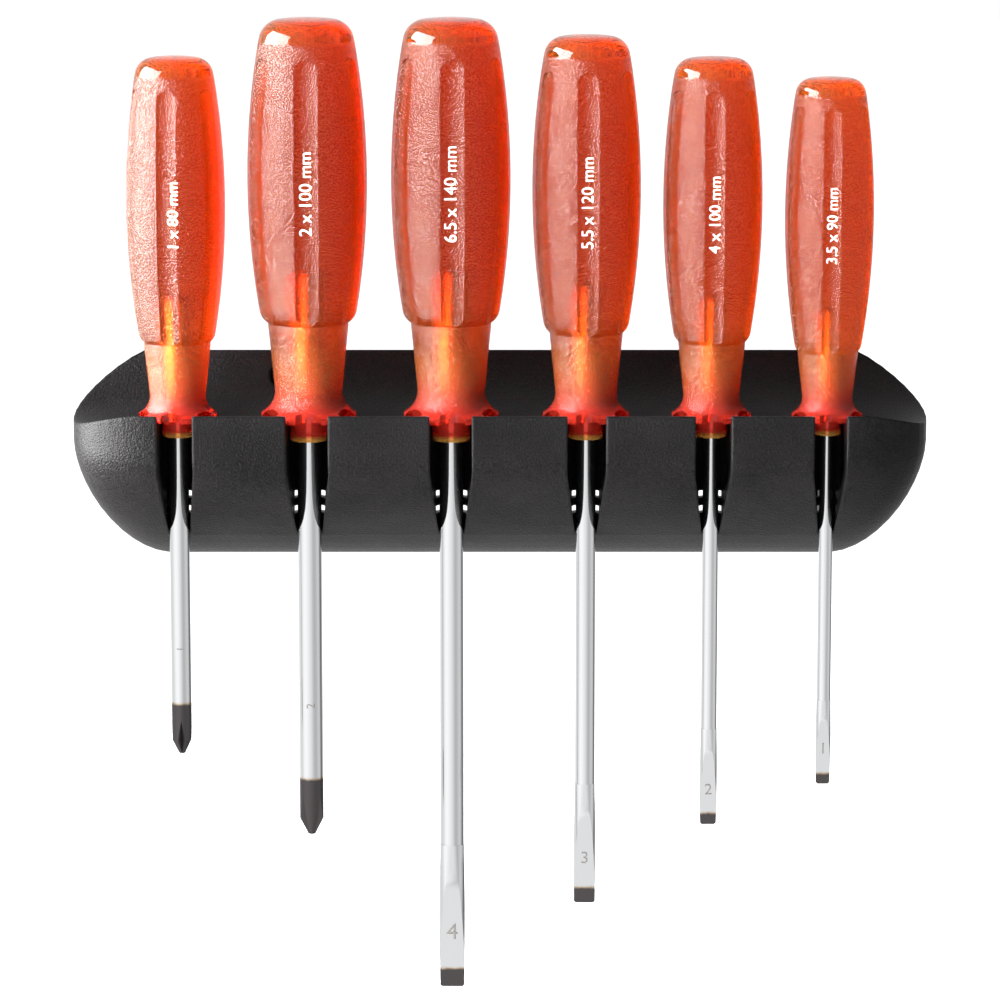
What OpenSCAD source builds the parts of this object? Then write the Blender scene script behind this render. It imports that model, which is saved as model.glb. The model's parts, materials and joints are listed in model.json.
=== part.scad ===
// Wall rack that holds six screwdrivers by the flanges of their handles.
// Millimetres. X runs along the rack, -Y is its front, +Z is up.
// The origin lies on the wall, midway between the two screw holes.

/* [Rack body] */
// Overall length of the rack
rack_length = 213; // [205:1:240]
// From the wall to the line of the screwdrivers
wall_to_tools = 22; // [20:0.5:26]
// From the line of the screwdrivers to the front face
tools_to_front = 16; // [14.5:0.5:20]
// How far the rack reaches below the seats of the flanges
hull_drop = 37.9; // [34:0.1:44]
// How far below the seats the front face starts to turn under
front_turn_drop = 8; // [6:0.5:10]
// How far below the seats the ends start to turn in
end_turn_drop = 5.3; // [3:0.1:7]
// How far the ends have turned in at the bottom
end_turn_in = 23; // [20:1:27]
// Reach of the rounded ends in plan, as a share of half the depth
end_reach_share = 1.41; // [1.2:0.01:1.6]
// Height of the rim at the wall, above the seats
rim_height = 13.9; // [13:0.1:14.5]
// Height of the front lip, above the seats
lip_height = 2.9; // [2:0.1:3.4]
// Depth of the bottom edge along the wall
bottom_edge_depth = 1.5; // [1:0.1:3]
// Thickness of the moulded walls
rack_wall = 2.5; // [2:0.1:2.8]
// Thickness of the ribs in the hollow back
rib_thickness = 1.8; // [1.2:0.1:2.5]

/* [Trough] */
// Radius of the trough along the top
trough_radius = 25.5; // [24.5:0.1:28]
// How far the bottom of the trough lies below the seats
trough_dip = 0.6; // [0.3:0.1:1]
// How far the bottom of the trough lies in front of the tools
trough_forward = 2; // [1:0.5:3]

/* [Slots] */
// Gap on each side between a collar and its slot
collar_clearance = 0.5; // [0.3:0.05:0.8]
// Gap on each side between a shaft and the foot of its slot
shaft_clearance = 0.2; // [0.15:0.05:0.4]
// Gap around a flange in its seat
flange_clearance = 0.4; // [0.2:0.05:0.6]
// How far below the seats the slots start to narrow
slot_taper_top = 12; // [10:0.5:14]
// How far below the seats the slots have narrowed to the shafts
slot_taper_foot = 29; // [27:0.5:31]
// How far below the seats the upper windows are centred
window_drop = 19.7; // [18.5:0.1:20.5]
// From one window row to the next
window_pitch = 3.7; // [3:0.1:4.2]
// Height of a window
window_height = 1.8; // [1.2:0.1:2.2]
// How far a window reaches past the shaft on each side
window_margin = 0.9; // [0.5:0.1:1.1]

/* [Wall screws] */
// From one screw hole to the other
screw_spacing = 108; // [105:1:112]
// Diameter of the screw holes
screw_hole_d = 4.5; // [3.5:0.1:5.5]
// Diameter of the recesses for the screw heads
screw_head_d = 8.2; // [7:0.1:9]
// Thickness left under a screw head
screw_seat = 2; // [1.8:0.1:3]
// Height of the screw holes above the seats
screw_height = 8; // [7.4:0.1:8.4]

/* [Handle family, as shares of the handle's diameter] */
// Flange diameter
flange_share = 0.8; // [0.76:0.01:0.84]
// Collar diameter
collar_share = 0.32; // [0.3:0.005:0.34]
// Length of the collar below the flange
nose_share = 0.187; // [0.16:0.001:0.2]
// Height of the plain ring at the foot of the collar
ring_share = 0.06; // [0.04:0.005:0.07]
// Height of the flange's edge
rim_share = 0.053; // [0.03:0.001:0.07]
// Height at which the neck is narrowest
waist_share = 0.243; // [0.2:0.001:0.27]
// Narrowest diameter of the neck
waist_d_share = 0.565; // [0.5:0.005:0.6]
// Diameter of the neck where it meets the grip
neck_d_share = 0.677; // [0.63:0.001:0.69]
// Radius of the rounded lower end of the grip
lower_round_share = 0.145; // [0.12:0.005:0.17]
// Radius of the rounded shoulder at the top
shoulder_share = 0.19; // [0.14:0.005:0.22]
// Radius of the crowned top
crown_share = 1.9; // [1.4:0.1:3]
// Width of a finger flute at the widest part of the grip
flute_w_share = 0.2; // [0.16:0.005:0.24]
// Depth of a finger flute
flute_depth_share = 0.034; // [0.02:0.002:0.045]
// From the top of the handle to the top of a flute
flute_top_share = 0.33; // [0.28:0.01:0.42]
// Width of a channel across the flange
channel_w_share = 0.21; // [0.16:0.005:0.22]
// Length of the steel inside a handle
tang_share = 1.46; // [1.1:0.01:1.8]

/* [Handle family, common sizes] */
// Radius of the bow along the grip
grip_bow = 200; // [170:5:260]
// Height of the widest part, as a share of the height above the seat
belly_share = 0.6; // [0.55:0.01:0.64]
// How much lower than its own diameter a grip starts above the seat
grip_start = 6; // [5:0.1:7]
// Radius of the small edges of a handle
handle_edge = 0.5; // [0.3:0.05:0.7]
// Flutes and channels around a handle
flute_count = 6; // [5:1:7]

/* [Crosspoint size 1] */
// Place along the rack, as a share of half its length
cross_1_place = -0.753; // [-0.76:0.001:-0.745]
// Handle length
cross_1_handle = 94.8; // [90:0.1:100]
// Handle diameter
cross_1_grip_d = 24.5; // [22.5:0.1:25.5]
// Blade length
cross_1_blade = 81; // [60:0.5:150]
// Shaft diameter
cross_1_shaft_d = 5; // [4.5:0.1:5.5]
// Turn of the handle about its axis
cross_1_turn = -7.5; // [-30:0.5:30]

/* [Crosspoint size 2] */
// Place along the rack, as a share of half its length
cross_2_place = -0.447; // [-0.455:0.001:-0.439]
// Handle length
cross_2_handle = 105.2; // [100:0.1:112]
// Handle diameter
cross_2_grip_d = 29.6; // [27.5:0.1:30]
// Blade length
cross_2_blade = 101; // [75:0.5:175]
// Shaft diameter
cross_2_shaft_d = 6; // [5.5:0.1:6.5]
// Turn of the handle about its axis
cross_2_turn = 1; // [-30:0.5:30]

/* [Slotted size 4] */
// Place along the rack, as a share of half its length
slot_4_place = -0.114; // [-0.123:0.001:-0.105]
// Handle length
slot_4_handle = 105.2; // [100:0.1:112]
// Handle diameter
slot_4_grip_d = 29.6; // [27.5:0.1:30]
// Blade length
slot_4_blade = 141; // [100:0.5:175]
// Shaft diameter
slot_4_shaft_d = 6; // [5.5:0.1:6.5]
// Width of the blade at its tip
slot_4_tip_w = 6.1; // [5.6:0.1:6.5]
// Thickness of the blade at its tip
slot_4_tip_t = 1.2; // [0.8:0.1:1.4]
// Turn of the handle about its axis
slot_4_turn = 2; // [-30:0.5:30]

/* [Slotted size 3] */
// Place along the rack, as a share of half its length
slot_3_place = 0.201; // [0.192:0.001:0.21]
// Handle length
slot_3_handle = 100.5; // [96:0.1:105]
// Handle diameter
slot_3_grip_d = 26.9; // [25:0.1:27.5]
// Blade length
slot_3_blade = 119.5; // [80:0.5:160]
// Shaft diameter
slot_3_shaft_d = 5; // [4.5:0.1:5.5]
// Width of the blade at its tip
slot_3_tip_w = 5.3; // [4.7:0.1:5.6]
// Thickness of the blade at its tip
slot_3_tip_t = 1; // [0.7:0.1:1.2]
// Turn of the handle about its axis
slot_3_turn = 1; // [-30:0.5:30]

/* [Slotted size 2] */
// Place along the rack, as a share of half its length
slot_2_place = 0.494; // [0.484:0.001:0.503]
// Handle length
slot_2_handle = 94.7; // [90:0.1:100]
// Handle diameter
slot_2_grip_d = 24.6; // [22.5:0.1:25.5]
// Blade length
slot_2_blade = 99.5; // [60:0.5:150]
// Shaft diameter
slot_2_shaft_d = 4; // [3.6:0.1:4.4]
// Width of the blade at its tip
slot_2_tip_w = 4; // [3.7:0.1:4.4]
// Thickness of the blade at its tip
slot_2_tip_t = 0.8; // [0.6:0.1:1]
// Turn of the handle about its axis
slot_2_turn = 0; // [-30:0.5:30]

/* [Slotted size 1] */
// Place along the rack, as a share of half its length
slot_1_place = 0.765; // [0.755:0.001:0.773]
// Handle length
slot_1_handle = 89.2; // [85:0.1:94]
// Handle diameter
slot_1_grip_d = 22; // [20:0.1:23]
// Blade length
slot_1_blade = 89.5; // [50:0.5:130]
// Shaft diameter
slot_1_shaft_d = 3.5; // [3.2:0.1:3.8]
// Width of the blade at its tip
slot_1_tip_w = 3.4; // [3.1:0.1:3.8]
// Thickness of the blade at its tip
slot_1_tip_t = 0.6; // [0.5:0.1:0.8]
// Turn of the handle about its axis
slot_1_turn = 0; // [-30:0.5:30]

/* [Blade tips] */
// Height of the ground flats of a slotted tip, in shaft diameters
flat_rise = 5.2; // [4:0.1:6]
// Height at which a slotted tip is widest, in shaft diameters
wide_rise = 3; // [2:0.1:3.6]
// Width of a slotted tip there, in shaft diameters
wide_share = 1.11; // [1.08:0.01:1.16]
// Corner radius of a slotted tip
tip_corner = 0.6; // [0.3:0.05:0.8]
// Half angle of a crosspoint tip, in degrees
cross_half_angle = 27; // [24:0.5:32]
// Blunt end of a crosspoint tip, as a share of the shaft
cross_blunt_share = 0.3; // [0.2:0.01:0.4]
// Thickness of a crosspoint's wings, as a share of the shaft
cross_wing_share = 0.2; // [0.14:0.01:0.26]
// Height of a crosspoint's flutes, in shaft diameters
cross_flute_rise = 1.75; // [1.4:0.05:2.2]
// Bevel at the hidden end of a blade
tang_bevel = 0.6; // [0.3:0.1:1]

/* [Hidden] */

// Each screwdriver: place, handle length and diameter, blade length and diameter,
// turn of the handle, turn of the tip, then tip width and thickness (0 for a crosspoint)
CROSS_1 = [cross_1_place, cross_1_handle, cross_1_grip_d, cross_1_blade, cross_1_shaft_d, cross_1_turn, 45, 0, 0];
CROSS_2 = [cross_2_place, cross_2_handle, cross_2_grip_d, cross_2_blade, cross_2_shaft_d, cross_2_turn, 0, 0, 0];
SLOT_4 = [slot_4_place, slot_4_handle, slot_4_grip_d, slot_4_blade, slot_4_shaft_d, slot_4_turn, 0,
          slot_4_tip_w, slot_4_tip_t];
SLOT_3 = [slot_3_place, slot_3_handle, slot_3_grip_d, slot_3_blade, slot_3_shaft_d, slot_3_turn, 0,
          slot_3_tip_w, slot_3_tip_t];
SLOT_2 = [slot_2_place, slot_2_handle, slot_2_grip_d, slot_2_blade, slot_2_shaft_d, slot_2_turn, 0,
          slot_2_tip_w, slot_2_tip_t];
SLOT_1 = [slot_1_place, slot_1_handle, slot_1_grip_d, slot_1_blade, slot_1_shaft_d, slot_1_turn, 0,
          slot_1_tip_w, slot_1_tip_t];
TOOLS = [CROSS_1, CROSS_2, SLOT_4, SLOT_3, SLOT_2, SLOT_1];

function place_x(tool) = tool[0] * rack_length / 2;
function handle_l(tool) = tool[1];
function grip_d(tool) = tool[2];
function blade_l(tool) = tool[3];
function shaft_r(tool) = tool[4] / 2;
function handle_turn(tool) = tool[5];
function tip_turn(tool) = tool[6];
function tip_w(tool) = tool[7];
function tip_t(tool) = tool[8];

function collar_r(tool) = grip_d(tool) * collar_share / 2;
function flange_r(tool) = grip_d(tool) * flange_share / 2;
function nose_l(tool) = grip_d(tool) * nose_share;
function tang_l(tool) = grip_d(tool) * tang_share;

// Places that several parts share
SEAT_Z = -screw_height;
TOOLS_Y = -wall_to_tools;
RACK_DEPTH = wall_to_tools + tools_to_front;
EPS = 0.01;
MARGIN = 2;

// Puts its children on a screwdriver's axis, with the seat of the flange at z = 0
module at_tool(tool) {
    translate([place_x(tool), TOOLS_Y, SEAT_Z]) children();
}

// Rack body
// Power curves that the front and the ends follow as they turn under, and the ends in plan
FRONT_POWER = 1.5;
END_POWER = 1.62;
PLAN_POWER = 2.3;
END_STEPS = 20;
HULL_STEPS = 12;

function power_curve(t, power) = 1 - pow(1 - pow(min(max(t, 0), 1), power), 1 / power);

// How far the front face and the ends have moved in at a drop below the seats
function front_in(drop) =
    (RACK_DEPTH - bottom_edge_depth)
    * power_curve((drop - front_turn_drop) / (hull_drop - front_turn_drop), FRONT_POWER);
function end_in(drop) =
    end_turn_in * power_curve((drop - end_turn_drop) / (hull_drop - end_turn_drop), END_POWER);

// Half the depth, the reach of the rounded ends and half the distance between their centres
function half_depth(drop) = (RACK_DEPTH - front_in(drop)) / 2;
function end_reach(drop) = end_reach_share * half_depth(drop);
function end_centre(drop) = rack_length / 2 - end_in(drop) - end_reach(drop);

function signed_power(v, power) = sign(v) * pow(abs(v), power);

// Rounded end in plan, fuller than an ellipse, with a wall's thickness taken off it
function round_end(side, drop, wall, steps) =
    let (half = half_depth(drop), reach = end_reach(drop) - wall)
    [for (i = [0:steps]) let (a = 90 - 180 * i / steps)
        [side * (end_centre(drop) + reach * signed_power(cos(a), 2 / PLAN_POWER)),
         side * (half - wall) * signed_power(sin(a), 2 / PLAN_POWER) - half]];

// Plan of the rack at a drop below the seats: a straight bar with rounded ends
function body_plan(drop) = concat(round_end(1, drop, 0, END_STEPS), round_end(-1, drop, 0, END_STEPS));

// Plan of the hollow inside that
function hollow_plan(drop, wall, steps) =
    concat(round_end(1, drop + wall, wall, steps), round_end(-1, drop + wall, wall, steps));

// Solid through a stack of plans with equal counts of points, from the top down
module loft(plans, heights) {
    count = len(plans[0]);
    last = len(plans) - 1;
    points = [for (j = [0:last]) for (p = plans[j]) [p[0], p[1], heights[j]]];
    sides = [for (j = [0:last - 1]) for (i = [0:count - 1])
        let (k = (i + 1) % count, a = j * count + i, b = j * count + k)
        each [[a, a + count, b], [b, a + count, b + count]]];
    caps = [[for (i = [0:count - 1]) i], [for (i = [count - 1:-1:0]) last * count + i]];
    polyhedron(points = points, faces = concat(sides, caps));
}

// Drops below the seats, close together where the body turns fastest
function hull_drops(steps, foot) =
    [for (j = [1:steps]) front_turn_drop + (foot - front_turn_drop) * pow(sin(90 * j / steps), 2 / FRONT_POWER)];

module rack_blank() {
    drops = concat([-rim_height, end_turn_drop, front_turn_drop], hull_drops(HULL_STEPS, hull_drop));
    loft([for (d = drops) body_plan(d)], [for (d = drops) SEAT_Z - d]);
}

// Round trough along the whole top, or the under side of its wall
module trough(wall) {
    translate([0, TOOLS_Y - trough_forward, SEAT_Z - trough_dip + trough_radius])
        rotate([0, 90, 0])
            cylinder(h = rack_length + 2 * MARGIN, r = trough_radius + wall, center = true, $fn = 256);
}

// Cuts the front lip level
module lip_trim() {
    translate([-rack_length / 2 - MARGIN, -RACK_DEPTH - MARGIN, SEAT_Z + lip_height])
        cube([rack_length + 2 * MARGIN, tools_to_front + MARGIN, rim_height]);
}

function slot_half(tool) = collar_r(tool) + collar_clearance;
function foot_half(tool) = shaft_r(tool) + shaft_clearance;

// Slot of one screwdriver, with a wall around it: a straight mouth for the collar
// that narrows to the shaft, with a round back
module slot(tool, wall, top) {
    upper = slot_half(tool) + wall;
    foot = foot_half(tool) + wall;
    side = [[upper, top], [upper, -slot_taper_top], [foot, -slot_taper_foot], [foot, -hull_drop - MARGIN]];
    rotate_extrude(angle = 180, $fn = 128)
        polygon(concat([[0, top]], side, [[0, -hull_drop - MARGIN]]));
    rotate([90, 0, 0])
        linear_extrude(tools_to_front + MARGIN)
            polygon(concat(side, [for (i = [len(side) - 1:-1:0]) [-side[i][0], side[i][1]]]));
}

// Level seat for the flange, sunk into the trough, or the wall under it
module flange_seat(tool, wall) {
    translate([0, 0, -wall])
        cylinder(h = rim_height + wall, r = flange_r(tool) + flange_clearance + wall, $fn = 128);
}

// Two windows in the back wall of a slot
module slot_windows(tool) {
    half = shaft_r(tool) + window_margin;
    reach = slot_half(tool) + rack_wall + MARGIN;
    for (i = [0, 1])
        translate([-half, 0, -window_drop - i * window_pitch - window_height / 2])
            cube([2 * half, reach, window_height]);
}

// Screw hole with a recess for the head, and the boss around it
module screw_hole() {
    rotate([90, 0, 0]) {
        translate([0, 0, -MARGIN]) cylinder(h = wall_to_tools, r = screw_hole_d / 2, $fn = 96);
        translate([0, 0, screw_seat]) cylinder(h = wall_to_tools, r = screw_head_d / 2, $fn = 96);
    }
}

module screw_boss() {
    rotate([90, 0, 0])
        translate([0, 0, -2 * MARGIN])
            cylinder(h = wall_to_tools + 2 * MARGIN, r = screw_head_d / 2 + rib_thickness, $fn = 96);
}

// Upright rib from the front wall to the wall plane
module rib(x) {
    translate([x - rib_thickness / 2, -RACK_DEPTH, SEAT_Z - hull_drop])
        cube([rib_thickness, RACK_DEPTH + 2 * MARGIN, hull_drop + rim_height + MARGIN]);
}

// Hollow back: the inside of the body less the walls, slots, ribs and bosses in it
HOLLOW_STEPS = 7;
HOLLOW_END_STEPS = 8;
MOUTH_INSET = 1;
module hollow_back() {
    floor_drop = hull_drop - 2 * rack_wall;
    drops = concat([-rim_height, front_turn_drop], hull_drops(HOLLOW_STEPS, floor_drop));
    mouth = [for (d = drops) [end_centre(d + rack_wall) - MOUTH_INSET, SEAT_Z - d]];
    difference() {
        union() {
            loft([for (d = drops) hollow_plan(d, rack_wall, HOLLOW_END_STEPS)],
                 [for (d = drops) SEAT_Z - d]);
            translate([0, -rack_wall - MOUTH_INSET, 0])
                rotate([90, 0, 180])
                    linear_extrude(rack_wall + MOUTH_INSET + MARGIN)
                        polygon(concat(mouth, [for (i = [len(mouth) - 1:-1:0]) [-mouth[i][0], mouth[i][1]]]));
        }
        trough(rack_wall);
        for (tool = TOOLS) {
            at_tool(tool) {
                slot(tool, rack_wall, 0);
                flange_seat(tool, rack_wall);
            }
            rib(place_x(tool));
        }
        for (i = [0:len(TOOLS) - 2]) rib((place_x(TOOLS[i]) + place_x(TOOLS[i + 1])) / 2);
        for (side = [-1, 1]) translate([side * screw_spacing / 2, 0, 0]) screw_boss();
    }
}

module wall_holder() {
    color("#2b2b2c")
    difference() {
        rack_blank();
        trough(0);
        lip_trim();
        hollow_back();
        for (tool = TOOLS)
            at_tool(tool) {
                slot(tool, 0, rim_height);
                flange_seat(tool, 0);
                slot_windows(tool);
            }
        for (side = [-1, 1]) translate([side * screw_spacing / 2, 0, 0]) screw_hole();
    }
}

// Handles
function unit(v) = v / norm(v);

// The crossing of two circles that lies further out, as [radius, height]
function circles_meet(c1, r1, c2, r2) =
    let (d = norm(c2 - c1), a = (r1 * r1 - r2 * r2 + d * d) / (2 * d),
         h = sqrt(r1 * r1 - a * a), m = c1 + a * unit(c2 - c1),
         n = [unit(c2 - c1)[1], -unit(c2 - c1)[0]],
         p = m + h * n, q = m - h * n)
    p[0] > q[0] ? p : q;

// Centre of the long arc along the grip, and the height of its widest part
function top_z(tool) = handle_l(tool) - nose_l(tool);
function belly_z(tool) = top_z(tool) * belly_share;
function grip_start_z(tool) = grip_d(tool) - grip_start;
function bow_centre(tool) = [grip_d(tool) / 2 - grip_bow, belly_z(tool)];

// Half the outline of the grip: one long bow between a rounded lower end and a
// rounded shoulder under a crowned top, each arc running into the next
module grip_outline(tool) {
    d = grip_d(tool);
    bow = bow_centre(tool);
    crown_r = crown_share * d;
    crown = [0, top_z(tool) - crown_r];
    shoulder_r = shoulder_share * d;
    shoulder = circles_meet(crown, crown_r - shoulder_r, bow, grip_bow - shoulder_r);
    crown_end = crown + crown_r * unit(shoulder - crown);
    shoulder_end = bow + grip_bow * unit(shoulder - bow);
    lower_r = lower_round_share * d;
    step_z = grip_start_z(tool);
    lower_z = step_z + lower_r;
    lower = [bow[0] + sqrt(pow(grip_bow - lower_r, 2) - pow(belly_z(tool) - lower_z, 2)), lower_z];
    lower_end = bow + grip_bow * unit(lower - bow);
    intersection() {
        translate(bow) circle(grip_bow, $fn = 1440);
        translate(crown) circle(crown_r, $fn = 720);
        polygon([[0, step_z], [lower[0], step_z], lower_end, [d, lower_end[1]], [d, shoulder_end[1]],
                 shoulder_end, crown_end, [crown_end[0], top_z(tool) + MARGIN], [0, top_z(tool) + MARGIN]]);
    }
    intersection() {
        union() {
            translate(shoulder) circle(shoulder_r, $fn = 180);
            translate(lower) circle(lower_r, $fn = 180);
        }
        square([d, top_z(tool) + MARGIN]);
    }
}

// Half the outline below the grip: collar, flange, flare and neck
module neck_outline(tool) {
    d = grip_d(tool);
    nose = nose_l(tool);
    rim_z = rim_share * d;
    waist_z = waist_share * d;
    waist_r = waist_d_share * d / 2;
    flare_w = flange_r(tool) - waist_r;
    flare_h = waist_z - rim_z;
    flare_r = (flare_h * flare_h + flare_w * flare_w) / (2 * flare_w);
    translate([0, -nose]) {
        square([collar_r(tool) - handle_edge, nose + EPS]);
        translate([0, handle_edge]) square([collar_r(tool), nose - handle_edge + EPS]);
        translate([collar_r(tool) - handle_edge, handle_edge]) circle(handle_edge, $fn = 48);
    }
    difference() {
        square([flange_r(tool), waist_z]);
        translate([waist_r + flare_r, waist_z]) circle(flare_r, $fn = 360);
    }
    neck_r = neck_d_share * d / 2;
    step_z = grip_start_z(tool);
    inside_z = step_z + lower_round_share * d;
    polygon([[0, waist_z - EPS], [waist_r, waist_z - EPS], [waist_r, waist_z],
             [neck_r, step_z], [neck_r, inside_z], [0, inside_z]]);
}

// Shallow finger flute that follows the bow of the grip and ends in a round arch
module finger_flute(tool) {
    d = grip_d(tool);
    half = flute_w_share * d / 2;
    depth = flute_depth_share * d;
    grip_sag = d / 2 - sqrt(d * d / 4 - half * half);
    sag = depth - grip_sag;
    tube_r = (half * half + sag * sag) / (2 * sag);
    path_r = grip_bow - depth + tube_r;
    arch_z = top_z(tool) - flute_top_share * d - half;
    start = asin((grip_start_z(tool) - 2 * half - belly_z(tool)) / path_r);
    end = asin((arch_z + 3 * half - belly_z(tool)) / path_r);
    intersection() {
        translate([bow_centre(tool)[0], 0, belly_z(tool)])
            rotate([90, 0, 0])
                rotate([0, 0, start])
                    rotate_extrude(angle = end - start, $fn = 1440)
                        translate([path_r, 0]) circle(tube_r, $fn = 96);
        union() {
            translate([0, 0, arch_z]) rotate([0, 90, 0]) cylinder(h = d, r = 1.08 * half, $fn = 96);
            translate([0, -1.05 * half, 0]) cube([d, 2.1 * half, arch_z]);
        }
    }
}

// Slanted channel across the flange, from an arch on the flare down to the plain ring
module flange_channel(tool) {
    d = grip_d(tool);
    half = channel_w_share * d / 2;
    low = [0.9 * collar_r(tool), (ring_share - nose_share) * d];
    high = [0.34 * d, 0.105 * d];
    slope = atan((high[0] - low[0]) / (high[1] - low[1]));
    tube_r = 0.22 * d;
    reach = d;
    intersection() {
        translate([low[0], 0, low[1]])
            rotate([0, slope, 0])
                translate([tube_r, 0, -reach]) cylinder(h = 2 * reach, r = tube_r, $fn = 128);
        translate([0, -half, low[1]]) cube([d, 2 * half, waist_share * d - low[1]]);
    }
}

module around(tool) {
    for (i = [0:flute_count - 1])
        rotate([0, 0, -90 + handle_turn(tool) + i * 360 / flute_count]) children();
}

// One moulded handle with the hole that the blade sits in
module handle(tool) {
    difference() {
        at_tool(tool) {
            difference() {
                rotate_extrude($fn = 192) grip_outline(tool);
                around(tool) finger_flute(tool);
            }
            difference() {
                rotate_extrude($fn = 192) neck_outline(tool);
                around(tool) flange_channel(tool);
            }
        }
        at_tool(tool) tang_space(tool);
    }
}

// The space that the hidden end of a blade fills, with its bevel
module tang_space(tool) {
    r = shaft_r(tool);
    l = tang_l(tool);
    translate([0, 0, -nose_l(tool)])
        rotate_extrude($fn = 96)
            polygon([[0, -MARGIN], [r, -MARGIN], [r, l - tang_bevel], [r - tang_bevel, l], [0, l]]);
}

// Blades
// Heights of the ground flats of a slotted tip and of its whole shaped length
TIP_RUNOUT = 1.2;
function flat_z(tool) = 2 * flat_rise * shaft_r(tool);
function tip_l(tool) = TIP_RUNOUT * flat_z(tool);

// Half width of a slotted tip at a height above its end, in easy steps up to the shaft
TIP_STEPS = 6;
function tip_outline(tool) =
    let (r = shaft_r(tool), wide = wide_share * r, wide_z = 2 * wide_rise * r, top = tip_l(tool))
    concat([[tip_w(tool) / 2, 0], [wide, wide_z]],
           [for (i = [1:TIP_STEPS]) let (t = i / TIP_STEPS)
               [wide - (wide - r) * (3 - 2 * t) * t * t, wide_z + (top - wide_z) * t]]);

// Flattened tip: a wedge in the side view, slightly wider than the shaft in the front view
module slotted_tip(tool) {
    r = shaft_r(tool);
    edge = tip_outline(tool);
    top = tip_l(tool);
    spread = (wide_share - 1) * r;
    intersection() {
        linear_extrude(top) {
            for (side = [-1, 1]) translate([side * spread, 0]) circle(r, $fn = 96);
            square([2 * spread, 2 * r], center = true);
        }
        rotate([90, 0, 0])
            linear_extrude(4 * r, center = true)
                difference() {
                    polygon(concat(edge, [for (i = [len(edge) - 1:-1:0]) [-edge[i][0], edge[i][1]]]));
                    for (side = [-1, 1])
                        translate([side * tip_w(tool) / 2, 0]) rotate(45) square(tip_corner, center = true);
                }
        rotate([90, 0, 90])
            linear_extrude(4 * r, center = true)
                polygon([[-tip_t(tool) / 2, 0], [tip_t(tool) / 2, 0], [r, flat_z(tool)],
                         [r, top], [-r, top], [-r, flat_z(tool)]]);
    }
}

// Round steel bar from a height above the tip up to the bevel on its hidden end
function bar_end(tool) =
    let (r = shaft_r(tool), l = blade_l(tool) + tang_l(tool))
    [[r, l - tang_bevel], [r - tang_bevel, l], [0, l]];

// Pointed blade with four flutes at its end that leave four wings
module cross_blade(tool) {
    r = shaft_r(tool);
    blunt = cross_blunt_share * r;
    cone_l = (r - blunt) / tan(cross_half_angle);
    flute_l = 2 * cross_flute_rise * r;
    wing = cross_wing_share * r;
    tip_in = wing * sqrt(2);
    slope = atan((r - tip_in) / flute_l);
    difference() {
        rotate_extrude($fn = 96) polygon(concat([[0, 0], [blunt, 0], [r, cone_l]], bar_end(tool)));
        for (i = [0:3])
            rotate([0, 0, 45 + 90 * i])
                translate([tip_in, 0, 0])
                    rotate([0, slope, 0])
                        translate([0, 0, -r])
                            linear_extrude(2 * flute_l)
                                polygon([[0, 0], [3 * r, 3 * r], [3 * r, -3 * r]]);
    }
}

// Round blade with a flattened tip
module slotted_blade(tool) {
    start_z = tip_l(tool) - EPS;
    rotate_extrude($fn = 96)
        polygon(concat([[0, start_z], [shaft_r(tool), start_z]], bar_end(tool)));
    slotted_tip(tool);
}

// One steel blade: tang, shaft and tip
module blade(tool) {
    at_tool(tool)
        translate([0, 0, -nose_l(tool) - blade_l(tool)])
            rotate([0, 0, tip_turn(tool)])
                if (tip_t(tool) > 0) slotted_blade(tool);
                else cross_blade(tool);
}

module handle_cross_1() { color("#c23a1c") handle(CROSS_1); }
module handle_cross_2() { color("#b8321c") handle(CROSS_2); }
module handle_slot_4() { color("#b8321c") handle(SLOT_4); }
module handle_slot_3() { color("#b62a20") handle(SLOT_3); }
module handle_slot_2() { color("#bd3a1e") handle(SLOT_2); }
module handle_slot_1() { color("#bd3620") handle(SLOT_1); }

module blade_cross_1() { color("#d6d8da") blade(CROSS_1); }
module blade_cross_2() { color("#d6d8da") blade(CROSS_2); }
module blade_slot_4() { color("#d6d8da") blade(SLOT_4); }
module blade_slot_3() { color("#d6d8da") blade(SLOT_3); }
module blade_slot_2() { color("#d6d8da") blade(SLOT_2); }
module blade_slot_1() { color("#d6d8da") blade(SLOT_1); }

wall_holder();
handle_cross_1();
handle_cross_2();
handle_slot_4();
handle_slot_3();
handle_slot_2();
handle_slot_1();
blade_cross_1();
blade_cross_2();
blade_slot_4();
blade_slot_3();
blade_slot_2();
blade_slot_1();
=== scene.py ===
import json
import math

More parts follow.
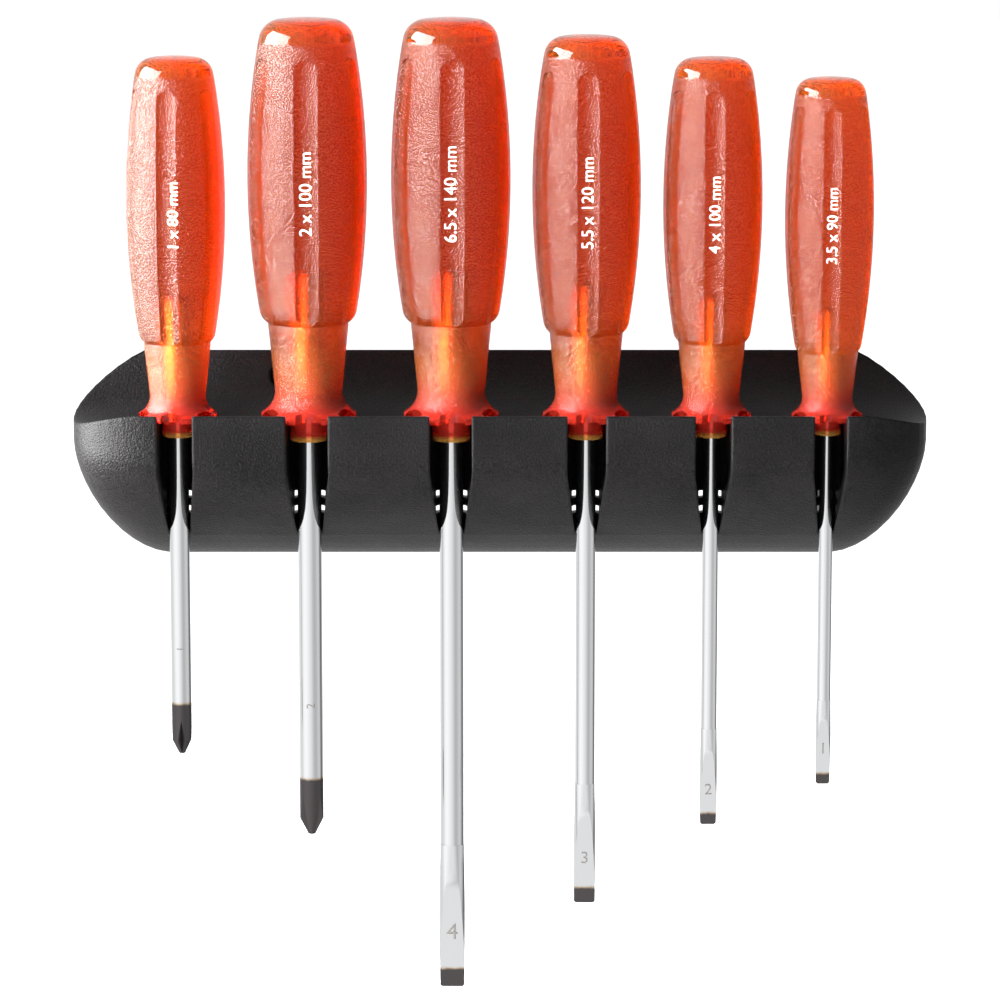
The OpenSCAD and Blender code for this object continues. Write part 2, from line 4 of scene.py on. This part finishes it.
import bpy
from bpy.props import FloatProperty, FloatVectorProperty, PointerProperty
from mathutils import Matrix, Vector

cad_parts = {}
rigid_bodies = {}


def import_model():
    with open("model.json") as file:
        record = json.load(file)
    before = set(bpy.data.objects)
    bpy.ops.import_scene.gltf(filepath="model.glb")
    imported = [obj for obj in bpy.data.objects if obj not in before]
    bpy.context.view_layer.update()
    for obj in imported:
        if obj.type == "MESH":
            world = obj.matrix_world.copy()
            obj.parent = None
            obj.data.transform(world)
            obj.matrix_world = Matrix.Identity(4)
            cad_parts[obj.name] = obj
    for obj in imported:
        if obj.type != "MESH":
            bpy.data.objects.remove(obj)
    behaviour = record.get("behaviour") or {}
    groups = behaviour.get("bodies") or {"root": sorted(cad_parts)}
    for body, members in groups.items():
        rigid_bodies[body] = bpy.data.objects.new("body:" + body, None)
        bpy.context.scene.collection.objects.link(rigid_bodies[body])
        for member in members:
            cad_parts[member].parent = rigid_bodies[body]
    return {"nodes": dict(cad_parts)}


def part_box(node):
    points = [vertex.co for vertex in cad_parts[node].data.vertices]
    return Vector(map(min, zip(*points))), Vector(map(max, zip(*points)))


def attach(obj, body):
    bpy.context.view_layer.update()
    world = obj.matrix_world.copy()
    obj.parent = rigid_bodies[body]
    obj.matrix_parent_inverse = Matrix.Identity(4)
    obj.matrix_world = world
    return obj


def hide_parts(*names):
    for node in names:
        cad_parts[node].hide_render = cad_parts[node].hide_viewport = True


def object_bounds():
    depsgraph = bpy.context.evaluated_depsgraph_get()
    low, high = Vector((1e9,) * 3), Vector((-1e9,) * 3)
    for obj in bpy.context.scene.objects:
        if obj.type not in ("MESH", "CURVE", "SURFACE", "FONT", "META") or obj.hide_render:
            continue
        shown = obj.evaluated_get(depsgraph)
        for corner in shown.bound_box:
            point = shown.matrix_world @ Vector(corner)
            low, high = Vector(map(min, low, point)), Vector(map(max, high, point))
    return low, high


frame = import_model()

bl_info = {
    "name": "Screwdrivers in a wall rack",
    "version": (1, 0, 0),
    "blender": (4, 5, 0),
    "location": "3D View > Sidebar > Rack",
    "description": "Dresses a black wall rack and its six screwdrivers with translucent grips and chromed blades",
    "category": "Add Mesh",
}

CAD_LOW, CAD_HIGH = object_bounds()

# Left to right in the rack, each with the size that is printed in its front flute, and the digit
# on its blade with the digit's height and its place above the blade's end
SCREWDRIVERS = {
    "cross_1": ("1 x 80 mm", "1", 0.0018, 0.0272),
    "cross_2": ("2 x 100 mm", "2", 0.0021, 0.0336),
    "slot_4": ("6.5 x 140 mm", "4", 0.0042, 0.0148),
    "slot_3": ("5.5 x 120 mm", "3", 0.0031, 0.012),
    "slot_2": ("4 x 100 mm", "2", 0.0028, 0.0093),
    "slot_1": ("3.5 x 90 mm", "1", 0.0028, 0.0094),
}

# Place of the print along a handle, as a share of its length
PRINT_PLACE = 0.6

# Height of the polished dome of a grip, as a share of its diameter
DOME_SHARE = 0.2

# Height of the seats that the flanges rest on
SEAT_Z = -0.008

# How fast the soft clouds in the black plastic change, per metre
CLOUD_SCALE = 60

# Relief of the moulded grain of the rack and of the stipple of the grips
GRAIN_RELIEF = 0.0002
STIPPLE_RELIEF = 0.0004

# Letters are a thin layer, cut into strips so that they can follow a round surface
LETTER_THICKNESS = 0.00006
LETTER_STRIPS = 7

# The floor lies this far under the lowest tip, and is this wide
FLOOR_DROP = 0.25
FLOOR_SIZE = 12

# Middle and side of the square key light
KEY_PLACE = (-0.98, -0.2, 0.2)
KEY_SIZE = 1.3


def grip_box(name):
    """Lowest and highest corner of a handle."""
    low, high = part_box("handle_" + name)
    return Vector(low), Vector(high)


def blade_box(name):
    """Lowest and highest corner of a blade."""
    low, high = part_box("blade_" + name)
    return Vector(low), Vector(high)


def axis_xy(name):
    """Where a screwdriver's axis stands, seen from above."""
    low, high = blade_box(name)
    return (low.x + high.x) / 2, (low.y + high.y) / 2


def deselect_all():
    """Nothing is selected or active after this."""
    for thing in list(bpy.context.selected_objects):
        thing.select_set(False)
    bpy.context.view_layer.objects.active = None


def pick(piece):
    """Selects one piece alone and makes it active."""
    deselect_all()
    piece.select_set(True)
    bpy.context.view_layer.objects.active = piece


def finish_piece(piece, slot_name, *nodes):
    """Ties a finished piece to the body and hides the nodes that it stands for; its slot name is not used."""
    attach(piece, "root")
    if nodes:
        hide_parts(*nodes)


def smooth_copy(node, name, angle):
    """Copy of a node with its triangles joined and its round faces smooth."""
    source = frame["nodes"][node]
    piece = bpy.data.objects.new(name, source.data.copy())
    bpy.context.scene.collection.objects.link(piece)
    pick(piece)
    bpy.ops.object.mode_set(mode="EDIT")
    bpy.ops.mesh.select_all(action="SELECT")
    bpy.ops.mesh.remove_doubles(threshold=1e-6)
    bpy.ops.object.mode_set(mode="OBJECT")
    if piece.data.has_custom_normals:
        bpy.ops.mesh.customdata_custom_splitnormals_clear()
    bpy.ops.object.shade_smooth_by_angle(angle=math.radians(angle))
    return piece


class Shader:
    """Small helper that builds a material's nodes around one Principled BSDF."""

    def __init__(self, name):
        self.material = bpy.data.materials.new(name)
        self.material.use_nodes = True
        self.nodes = self.material.node_tree.nodes
        self.links = self.material.node_tree.links
        self.bsdf = self.nodes["Principled BSDF"]
        self.coordinates = self.nodes.new("ShaderNodeTexCoord").outputs["Object"]

    def set(self, **values):
        """Sets constants on the shader's own sockets."""
        for key, value in values.items():
            self.bsdf.inputs[key.replace("_", " ")].default_value = value

    def link(self, output, target):
        """Links an output to a socket of the shader by name, or to any other socket."""
        self.links.new(output, self.bsdf.inputs[target] if isinstance(target, str) else target)

    def noise(self, scale, detail=2.0, roughness=0.5, stretch=(1, 1, 1)):
        """Noise over the object's own coordinates, with features about 1 / scale metres across."""
        mapping = self.nodes.new("ShaderNodeMapping")
        mapping.inputs["Scale"].default_value = stretch
        self.links.new(self.coordinates, mapping.inputs["Vector"])
        node = self.nodes.new("ShaderNodeTexNoise")
        node.inputs["Scale"].default_value = scale
        node.inputs["Detail"].default_value = detail
        node.inputs["Roughness"].default_value = roughness
        self.links.new(mapping.outputs["Vector"], node.inputs["Vector"])
        return node.outputs["Fac"]

    def height(self):
        """Height above the row's origin."""
        split = self.nodes.new("ShaderNodeSeparateXYZ")
        self.links.new(self.coordinates, split.inputs["Vector"])
        return split.outputs["Z"]

    def math(self, operation, first, second=0.0, clamp=False):
        """One Math node on outputs or numbers."""
        node = self.nodes.new("ShaderNodeMath")
        node.operation = operation
        node.use_clamp = clamp
        for socket, value in zip(node.inputs, (first, second)):
            if isinstance(value, (int, float)):
                socket.default_value = value
            else:
                self.links.new(value, socket)
        return node.outputs["Value"]

    def ramp(self, factor, low, high, first=(0, 0, 0, 1), last=(1, 1, 1, 1)):
        """Colour that goes from first at low to last at high."""
        node = self.nodes.new("ShaderNodeMapRange")
        node.inputs["From Min"].default_value = low
        node.inputs["From Max"].default_value = high
        self.links.new(factor, node.inputs["Value"])
        return self.mix(node.outputs["Result"], first, last)

    def fade(self, factor, low, high, first=0.0, last=1.0):
        """Value that goes from first at low to last at high."""
        node = self.nodes.new("ShaderNodeMapRange")
        for key, value in (("From Min", low), ("From Max", high), ("To Min", first), ("To Max", last)):
            node.inputs[key].default_value = value
        self.links.new(factor, node.inputs["Value"])
        return node.outputs["Result"]

    def mix(self, factor, first, last):
        """Mix of two colours, which may be outputs."""
        node = self.nodes.new("ShaderNodeMix")
        node.data_type = "RGBA"
        self.links.new(factor, node.inputs["Factor"])
        for socket, value in ((node.inputs[6], first), (node.inputs[7], last)):
            if isinstance(value, (tuple, list)):
                socket.default_value = value
            else:
                self.links.new(value, socket)
        return node.outputs[2]

    def bump(self, height, strength, distance, normal=None):
        """Bump from a height, on top of another normal if one is given."""
        node = self.nodes.new("ShaderNodeBump")
        node.inputs["Strength"].default_value = strength
        node.inputs["Distance"].default_value = distance
        self.links.new(height, node.inputs["Height"])
        if normal is not None:
            self.links.new(normal, node.inputs["Normal"])
        return node.outputs["Normal"]

    def absorb(self, colour, density):
        """Lets the inside swallow light, so that thick plastic looks deeper than thin plastic."""
        node = self.nodes.new("ShaderNodeVolumeAbsorption")
        node.inputs["Color"].default_value = colour
        node.inputs["Density"].default_value = density
        output = next(n for n in self.nodes if n.bl_idname == "ShaderNodeOutputMaterial")
        self.links.new(node.outputs["Volume"], output.inputs["Volume"])

    def rounded(self, radius):
        """Normal that rounds the sharp edges."""
        node = self.nodes.new("ShaderNodeBevel")
        node.samples = 4
        node.inputs["Radius"].default_value = radius
        return node.outputs["Normal"]

    def turned(self, normal):
        """How far a normal is turned from that of the face, from 0 to 1."""
        face = self.nodes.new("ShaderNodeNewGeometry").outputs["True Normal"]
        node = self.nodes.new("ShaderNodeVectorMath")
        node.operation = "DOT_PRODUCT"
        self.links.new(normal, node.inputs[0])
        self.links.new(face, node.inputs[1])
        return self.math("SUBTRACT", 1.0, node.outputs["Value"], clamp=True)


def rgba(colour):
    return (*colour, 1.0)


def paint(piece, material):
    """Puts one material on the whole piece."""
    piece.data.materials.clear()
    piece.data.materials.append(material)


class RackProperties(bpy.types.PropertyGroup):
    colour: FloatVectorProperty(name="Colour", description="Colour of the black moulding", subtype="COLOR",
                                default=(0.0058, 0.0053, 0.0056), min=0, max=1)
    grain: FloatProperty(name="Grain", description="Size of the moulded grain", default=0.0005, unit="LENGTH")
    edge: FloatProperty(name="Edge", description="Radius of the moulded edges", default=0.0009, unit="LENGTH")


class GripProperties(bpy.types.PropertyGroup):
    colour: FloatVectorProperty(name="Colour", description="Colour of the translucent plastic", subtype="COLOR",
                                default=(0.8, 0.43, 0.08), min=0, max=1)
    inner: FloatVectorProperty(name="Inner colour", description="Colour that thick plastic takes on", subtype="COLOR",
                               default=(0.932, 0.67, 0.0), min=0, max=1)
    flange: FloatVectorProperty(name="Flange", description="Colour of the flange and collar", subtype="COLOR",
                                default=(0.74, 0.045, 0.025), min=0, max=1)
    density: FloatProperty(name="Depth of colour", description="How fast the plastic takes on its inner colour",
                           default=400.0)
    stipple: FloatProperty(name="Stipple", description="Size of the stippled grain", default=0.00045, unit="LENGTH")
    print_colour: FloatVectorProperty(name="Print", description="Colour of the printed sizes", subtype="COLOR",
                                      default=(0.9, 0.9, 0.88), min=0, max=1)
    print_height: FloatProperty(name="Print height", description="Height of the printed digits of the widest grip",
                                default=0.003, unit="LENGTH")


class BladeProperties(bpy.types.PropertyGroup):
    colour: FloatVectorProperty(name="Chrome", description="Colour of the chromed steel", subtype="COLOR",
                                default=(0.78, 0.79, 0.8), min=0, max=1)
    dark: FloatVectorProperty(name="Dark tip", description="Colour of the blackened tip", subtype="COLOR",
                              default=(0.11, 0.1, 0.102), min=0, max=1)
    mark: FloatVectorProperty(name="Mark", description="Colour of the digits on the blades", subtype="COLOR",
                              default=(0.18, 0.166, 0.152), min=0, max=1)


class StudioProperties(bpy.types.PropertyGroup):
    distance: FloatProperty(name="Camera distance", description="From the screwdrivers to the camera",
                            default=1.2, unit="LENGTH")
    pitch: FloatProperty(name="Pitch", description="How far the camera looks down", default=math.radians(10.4),
                         subtype="ANGLE")
    aim: FloatProperty(name="Aim", description="Height that the camera looks at", default=-0.02878, unit="LENGTH")
    key: FloatProperty(name="Key light", description="Power of the soft light on the left",
                       default=175.0, unit="POWER")


class RACK_OT_body(bpy.types.Operator):
    """The black moulded rack"""
    bl_idname = "rack.body"
    bl_label = "Rack body"

    def execute(self, context):
        sizes = context.scene.rack_body
        rack = smooth_copy("wall_holder", "rack_body", 28)
        paint(rack, black_plastic(sizes))
        finish_piece(rack, "rack_plastic", "wall_holder")
        return {"FINISHED"}


def black_plastic(sizes):
    """Black plastic with a fine moulded grain and soft edges."""
    shader = Shader("black_moulded_plastic")
    grain = shader.noise(1 / sizes.grain, detail=3)
    cloud = shader.noise(CLOUD_SCALE, detail=3)
    speck = shader.math("ADD", shader.math("MULTIPLY", grain, 0.7), shader.math("MULTIPLY", cloud, 0.3))
    shader.link(shader.ramp(speck, 0.35, 0.65, rgba([c * 0.3 for c in sizes.colour]),
                            rgba([c * 1.6 for c in sizes.colour])), "Base Color")
    soft = shader.rounded(sizes.edge)
    edge = shader.fade(shader.turned(soft), 0.02, 0.2)
    shader.link(shader.math("ADD", shader.fade(grain, 0.3, 0.7, 0.3, 0.42), shader.math("MULTIPLY", edge, -0.14)),
                "Roughness")
    shader.link(shader.bump(grain, 1.0, GRAIN_RELIEF, soft), "Normal")
    shader.set(Specular_IOR_Level=0.12)
    return shader.material


class RACK_OT_grips(bpy.types.Operator):
    """The six translucent handles"""
    bl_idname = "rack.grips"
    bl_label = "Grips"

    def execute(self, context):
        sizes = context.scene.rack_grips
        for name in SCREWDRIVERS:
            grip = smooth_copy("handle_" + name, "grip_" + name, 30)
            close_bore(grip, name)
            paint(grip, grip_plastic(name, sizes))
            finish_piece(grip, "grip_plastic", "handle_" + name)
        return {"FINISHED"}


def close_bore(grip, name):
    """Takes the bore out of a handle's copy, so that its plastic lies close around the steel."""
    x, y = axis_xy(name)
    foot = grip_box(name)[0].z + 1e-5
    low, high = blade_box(name)
    shaft = (high.y - low.y) / 2 + 1e-5
    pick(grip)
    bpy.ops.object.mode_set(mode="EDIT")
    bpy.ops.mesh.select_mode(type="VERT")
    bpy.ops.mesh.select_all(action="DESELECT")
    bpy.ops.object.mode_set(mode="OBJECT")
    for vertex in grip.data.vertices:
        off_axis = math.hypot(vertex.co.x - x, vertex.co.y - y)
        vertex.select = off_axis < shaft and foot < vertex.co.z < high.z + 1e-4
    bpy.ops.object.mode_set(mode="EDIT")
    bpy.ops.mesh.delete(type="VERT")
    bpy.ops.mesh.select_all(action="SELECT")
    bpy.ops.mesh.fill_holes(sides=0)
    bpy.ops.object.mode_set(mode="OBJECT")


def grip_plastic(name, sizes):
    """Translucent red-orange plastic, stippled between the flange and the smooth dome. The flange and collar are
    redder and let less light through, and the foot has a lighter ring."""
    low, high = grip_box(name)
    diameter = high.x - low.x
    shader = Shader("translucent_grip_" + name)
    stipple = shader.noise(1 / sizes.stipple, detail=2)
    dome = high.z - DOME_SHARE * diameter
    above = shader.fade(shader.height(), SEAT_Z + 0.003, SEAT_Z + 0.02)
    matt = shader.math("MULTIPLY", shader.fade(shader.height(), dome - 0.0004, dome + 0.0004, 1.0, 0.0),
                       shader.fade(shader.height(), SEAT_Z + 0.001, SEAT_Z + 0.005, 0.15, 1.0))
    cloud = shader.ramp(shader.noise(90, detail=2), 0.35, 0.65, rgba([c * 0.94 for c in sizes.colour]),
                        rgba(sizes.colour))
    pits = shader.math("MULTIPLY", shader.fade(stipple, 0.42, 0.58), matt)
    body = shader.mix(pits, cloud, rgba([c * c * 0.9 for c in sizes.colour]))
    ring = shader.ramp(shader.height(), low.z + 0.0008, low.z + 0.0016, rgba(sizes.colour), rgba(sizes.flange))
    shader.link(shader.mix(above, ring, body), "Base Color")
    shader.link(shader.fade(above, 0, 1, 0.7, 0.975), "Transmission Weight")
    shader.link(shader.math("ADD", shader.math("MULTIPLY", pits, 0.17), shader.fade(matt, 0, 1, 0.05, 0.08)),
                "Roughness")
    shader.link(shader.bump(shader.math("MULTIPLY", stipple, matt), 1.0, STIPPLE_RELIEF), "Normal")
    shader.set(IOR=1.36, Specular_IOR_Level=0.5)
    shader.absorb(rgba(sizes.inner), sizes.density)
    return shader.material


class RACK_OT_blades(bpy.types.Operator):
    """The six chromed blades with blackened tips"""
    bl_idname = "rack.blades"
    bl_label = "Blades"

    def execute(self, context):
        sizes = context.scene.rack_blades
        for name in SCREWDRIVERS:
            blade = smooth_copy("blade_" + name, "steel_" + name, 20)
            paint(blade, chromed_steel(name, sizes))
            finish_piece(blade, "blade_steel", "blade_" + name)
        return {"FINISHED"}


# How far each blade is blackened above its end
DARK_TIPS = {"cross_1": 0.0129, "cross_2": 0.0145, "slot_4": 0.0047, "slot_3": 0.0039, "slot_2": 0.0028,
             "slot_1": 0.0026}


def chromed_steel(name, sizes):
    """Chrome with fine lines along the shaft, and a blackened tip with a warm line above it."""
    low, high = blade_box(name)
    shader = Shader("chromed_blade_" + name)
    edge = shader.math("ADD", shader.height(), shader.math("MULTIPLY", shader.noise(900, detail=2), 0.0006))
    bright = shader.fade(edge, low.z + DARK_TIPS[name], low.z + DARK_TIPS[name] + 0.0006)
    lines = shader.noise(2500, detail=2, stretch=(1, 1, 0.03))
    tint = shader.fade(edge, low.z + DARK_TIPS[name] + 0.0003, low.z + DARK_TIPS[name] + 0.001)
    warm = shader.mix(tint, rgba([c * k for c, k in zip(sizes.colour, (0.8, 0.6, 0.4))]), rgba(sizes.colour))
    shader.link(shader.mix(bright, rgba(sizes.dark), warm), "Base Color")
    shader.link(shader.fade(bright, 0, 1, 0.42, 0.13), "Roughness")
    shader.link(shader.bump(lines, 0.05, 0.00002), "Normal")
    shader.set(Metallic=1.0)
    return shader.material


class RACK_OT_marks(bpy.types.Operator):
    """The printed sizes in the flutes and the digits on the blades"""
    bl_idname = "rack.marks"
    bl_label = "Marks"

    def execute(self, context):
        grips, blades = context.scene.rack_grips, context.scene.rack_blades
        widest = max(grip_box(name)[1].x - grip_box(name)[0].x for name in SCREWDRIVERS)
        white = mark_paint("white_print", grips.print_colour)
        grey = mark_paint("etched_digit", blades.mark)
        for name, (size_text, digit, digit_height, digit_place) in SCREWDRIVERS.items():
            x, y = axis_xy(name)
            low, high = grip_box(name)
            height = grips.print_height * (0.5 + 0.5 * (high.x - low.x) / widest)
            place = (x, low.y - 0.001, low.z + (high.z - low.z) * PRINT_PLACE)
            text = lettering("print_" + name, size_text, height, place, True)
            lay_on(text, bpy.data.objects["grip_" + name])
            paint(text, white)
            finish_piece(text, "grip_plastic")
            low, high = blade_box(name)
            mark = lettering("digit_" + name, digit, digit_height, (x, low.y - 0.001, low.z + digit_place),
                             name.startswith("cross"))
            lay_on(mark, bpy.data.objects["steel_" + name])
            paint(mark, grey)
            finish_piece(mark, "blade_steel")
        return {"FINISHED"}


def lettering(name, body, height, place, upwards):
    """Flat letters that face the front, and that may read upwards, cut into upright strips."""
    deselect_all()
    bpy.ops.object.text_add()
    bpy.context.object.data.body = body
    bpy.ops.object.convert(target="MESH")
    piece = bpy.context.object
    piece.name = name
    bpy.ops.object.origin_set(type="ORIGIN_GEOMETRY", center="BOUNDS")
    piece.scale = [height / piece.dimensions.y] * 3
    piece.location = place
    piece.rotation_euler = (math.pi / 2, -math.pi / 2 if upwards else 0, 0)
    bpy.ops.object.transform_apply(location=True, rotation=True, scale=True)
    bpy.ops.object.mode_set(mode="EDIT")
    for step in range(LETTER_STRIPS):
        cut = place[0] + (step - LETTER_STRIPS // 2) * height / LETTER_STRIPS
        bpy.ops.mesh.select_all(action="SELECT")
        bpy.ops.mesh.bisect(plane_co=(cut, place[1], place[2]), plane_no=(1, 0, 0))
    bpy.ops.object.mode_set(mode="OBJECT")
    return piece


def lay_on(piece, target):
    """Lays flat letters on the surface behind them, as a thin layer that is half sunk into it."""
    pick(piece)
    bpy.ops.object.modifier_add(type="SHRINKWRAP")
    wrap = piece.modifiers[-1]
    wrap.target = target
    wrap.wrap_method = "PROJECT"
    wrap.use_project_y = True
    wrap.use_positive_direction = True
    wrap.use_negative_direction = False
    bpy.ops.object.modifier_apply(modifier=wrap.name)
    bpy.ops.object.modifier_add(type="SOLIDIFY")
    layer = piece.modifiers[-1]
    layer.thickness = LETTER_THICKNESS
    layer.offset = 0
    bpy.ops.object.modifier_apply(modifier=layer.name)


def mark_paint(name, colour):
    """Matt paint, a little uneven."""
    shader = Shader(name)
    shader.link(shader.ramp(shader.noise(3000), 0.35, 0.65, rgba([c * 0.93 for c in colour]), rgba(colour)),
                "Base Color")
    shader.set(Roughness=0.55)
    return shader.material


class RACK_OT_studio(bpy.types.Operator):
    """Floor, backdrop, lights and camera"""
    bl_idname = "rack.studio"
    bl_label = "Studio"

    def execute(self, context):
        sizes = context.scene.rack_studio
        deselect_all()
        bpy.ops.mesh.primitive_plane_add(size=1, location=(0, 0, CAD_LOW.z - FLOOR_DROP))
        floor = context.object
        floor.name = "studio_floor"
        floor.scale = (FLOOR_SIZE, FLOOR_SIZE, 1)
        bpy.ops.object.transform_apply(location=True, scale=True)
        paint(floor, pale_paper("pale_floor"))
        floor.visible_glossy = False
        context.scene.view_settings.view_transform = "Standard"
        soft_world(context)
        key = soft_light("key_light", KEY_PLACE, KEY_SIZE, sizes.key)
        lit = bpy.data.collections.new("lit_by_the_key")
        for piece in bpy.data.objects:
            if piece.type == "MESH" and not piece.name.startswith(("steel_", "digit_")):
                lit.objects.link(piece)
        key.light_linking.receiver_collection = lit
        add_camera(context, sizes)
        return {"FINISHED"}


def pale_paper(name):
    """Matte white paper that glows a little, as a light table does."""
    shader = Shader(name)
    shader.link(shader.ramp(shader.noise(40), 0.3, 0.7, (0.86, 0.86, 0.86, 1), (0.9, 0.9, 0.9, 1)), "Base Color")
    shader.set(Roughness=0.9, Specular_IOR_Level=0.1, Emission_Color=(1, 1, 1, 1), Emission_Strength=0.6)
    return shader.material


# Studio walls: where round the object a soft pool of light or shade lies, how wide it is,
# and how much it adds, with 0 degrees towards the camera and -90 on the left
POOLS = ((-50, 28, 0.46), (0, 22, 0.12), (38, 16, -0.2), (121, 13, -0.62), (-150, 22, 0.3))
WALL_GREY = 0.74

# How much of the walls' light falls on matt surfaces
MATT_SHARE = 0.68


def soft_world(context):
    """Grey studio walls with soft pools of light and shade, and a plain white view behind the object."""
    world = bpy.data.worlds.new("soft_studio")
    context.scene.world = world
    world.use_nodes = True
    nodes, links = world.node_tree.nodes, world.node_tree.links
    background = nodes["Background"]
    direction = nodes.new("ShaderNodeTexCoord").outputs["Generated"]
    split = nodes.new("ShaderNodeSeparateXYZ")
    links.new(direction, split.inputs["Vector"])

    def calc(operation, *values):
        node = nodes.new("ShaderNodeMath")
        node.operation = operation
        for socket, value in zip(node.inputs, values):
            if isinstance(value, (int, float)):
                socket.default_value = value
            else:
                links.new(value, socket)
        return node.outputs["Value"]

    around = calc("ARCTAN2", split.outputs["X"], calc("MULTIPLY", split.outputs["Y"], -1.0))
    light = WALL_GREY
    for centre, width, amount in POOLS:
        away = calc("WRAP", calc("SUBTRACT", around, math.radians(centre)), math.pi, -math.pi)
        near = calc("DIVIDE", away, math.radians(width))
        pool = calc("EXPONENT", calc("MULTIPLY", calc("MULTIPLY", near, near), -0.5))
        light = calc("ADD", calc("MULTIPLY", pool, amount), light)
    path = nodes.new("ShaderNodeLightPath").outputs
    share = calc("MAXIMUM", path["Is Glossy Ray"], MATT_SHARE)
    white = calc("MAXIMUM", path["Is Camera Ray"], calc("MULTIPLY", path["Is Transmission Ray"], 1.15))
    links.new(calc("MAXIMUM", calc("MULTIPLY", light, share), white), background.inputs["Strength"])
    background.inputs["Color"].default_value = (1, 1, 1, 1)


def soft_light(name, place, side, power):
    """Square soft light that faces the middle of the rack."""
    deselect_all()
    bpy.ops.object.light_add(type="AREA", location=place)
    light = bpy.context.object
    light.name = name
    light.data.shape = "SQUARE"
    light.data.size = side
    light.data.energy = power
    aim = Vector((0, -0.02, 0)) - Vector(place)
    light.rotation_euler = aim.to_track_quat("-Z", "Y").to_euler()
    return light


def add_camera(context, sizes):
    """Camera that looks slightly down at the middle of the set."""
    deselect_all()
    target = Vector((0, axis_xy("slot_4")[1], sizes.aim))
    back = Vector((0, -math.cos(sizes.pitch), math.sin(sizes.pitch))) * sizes.distance
    bpy.ops.object.camera_add(location=target + back, rotation=(math.pi / 2 - sizes.pitch, 0, 0))
    camera = context.object
    camera.data.lens = 172.8
    camera.data.sensor_width = 36
    camera.data.clip_end = 20
    context.scene.camera = camera


class RACK_PT_panel(bpy.types.Panel):
    """Lists the pieces of the rack"""
    bl_idname = "RACK_PT_panel"
    bl_label = "Screwdriver rack"
    bl_space_type = "VIEW_3D"
    bl_region_type = "UI"
    bl_category = "Rack"

    def draw(self, context):
        scene = context.scene
        groups = (("rack.body", scene.rack_body), ("rack.grips", scene.rack_grips),
                  ("rack.blades", scene.rack_blades), ("rack.marks", None), ("rack.studio", scene.rack_studio))
        for operator, group in groups:
            box = self.layout.box()
            box.operator(operator)
            for key in group.__annotations__ if group else ():
                box.prop(group, key)


GROUPS = {"rack_body": RackProperties, "rack_grips": GripProperties, "rack_blades": BladeProperties,
          "rack_studio": StudioProperties}
CLASSES = (*GROUPS.values(), RACK_OT_body, RACK_OT_grips, RACK_OT_blades, RACK_OT_marks, RACK_OT_studio,
           RACK_PT_panel)


def register():
    for cls in CLASSES:
        bpy.utils.register_class(cls)
    for key, cls in GROUPS.items():
        setattr(bpy.types.Scene, key, PointerProperty(type=cls))


def unregister():
    for key in GROUPS:
        delattr(bpy.types.Scene, key)
    for cls in reversed(CLASSES):
        bpy.utils.unregister_class(cls)


def main():
    register()
    deselect_all()
    bpy.ops.rack.body()
    bpy.ops.rack.grips()
    bpy.ops.rack.blades()
    bpy.ops.rack.marks()
    bpy.ops.rack.studio()


if __name__ == "__main__":
    main()
